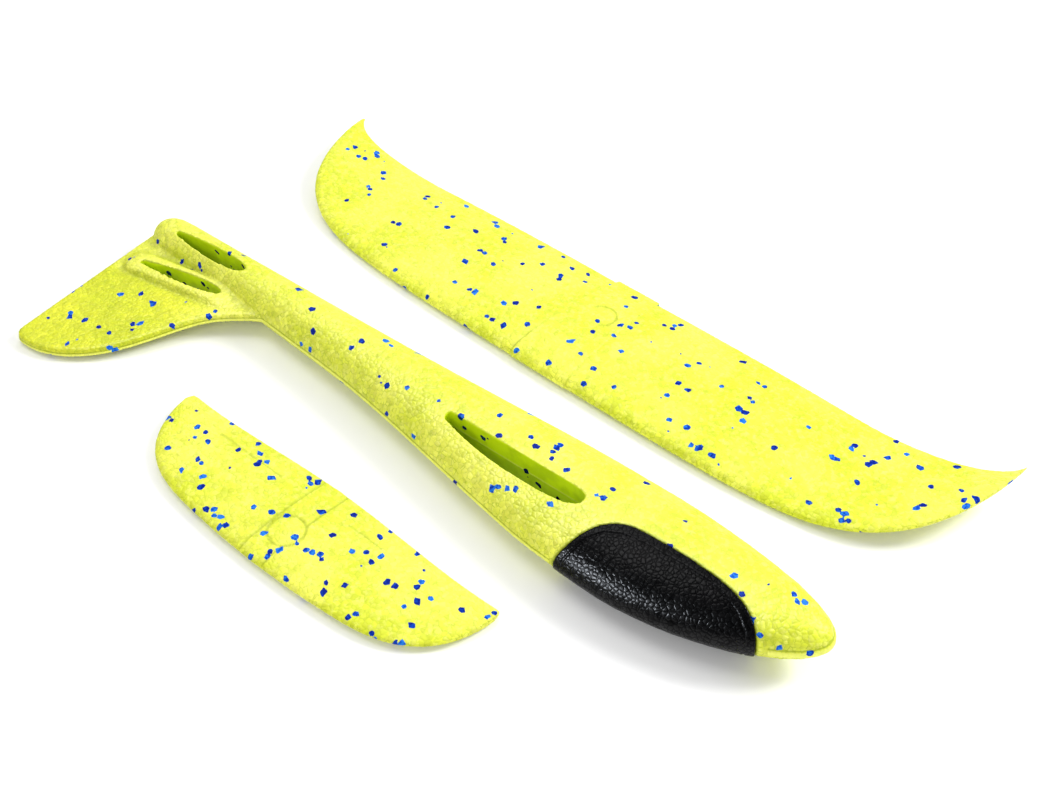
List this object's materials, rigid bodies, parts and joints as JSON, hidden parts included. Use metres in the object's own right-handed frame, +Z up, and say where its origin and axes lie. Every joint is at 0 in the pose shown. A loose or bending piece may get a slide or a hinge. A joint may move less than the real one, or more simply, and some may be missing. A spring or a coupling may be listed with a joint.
{
  "type": "toy glider",
  "caption": "Hand-launched foam glider laid out as a kit: fuselage with fin, black canopy, slot-in main wing and tailplane, hidden nose weight.",
  "frame": {"origin": "centre of the laid-out kit's outline, on the floor it rests on", "axes": "+X along the fuselage towards its nose, +Z up from the floor, -Y towards the fuselage's dorsal side, where the tailplane lies; the main wing lies on the +Y side"},
  "size_m": [0.4896, 0.2968, 0.0349],
  "materials": {
    "foam": "beaded foam, satin, with scattered blue beads",
    "canopy_foam": "black beaded foam with a soft sheen",
    "steel": "turned steel slug"
  },
  "bodies": {
    "fuselage": {"fuselage": "foam", "nose_weight": "steel"},
    "canopy": {"canopy": "canopy_foam"},
    "wing": {"main_wing": "foam"},
    "tailplane": {"tailplane": "foam"}
  },
  "joints": [
    {"name": "canopy_lift_off", "type": "slide", "parent": "fuselage", "child": "canopy", "axis": [0, -1, 0], "range_m": [0, 0.035]},
    {"name": "wing_lift", "type": "slide", "parent": "fuselage", "child": "wing", "axis": [0, 0, 1], "range_m": [0, 0.06]},
    {"name": "tailplane_lift", "type": "slide", "parent": "fuselage", "child": "tailplane", "axis": [0, 0, 1], "range_m": [0, 0.06]}
  ]
}
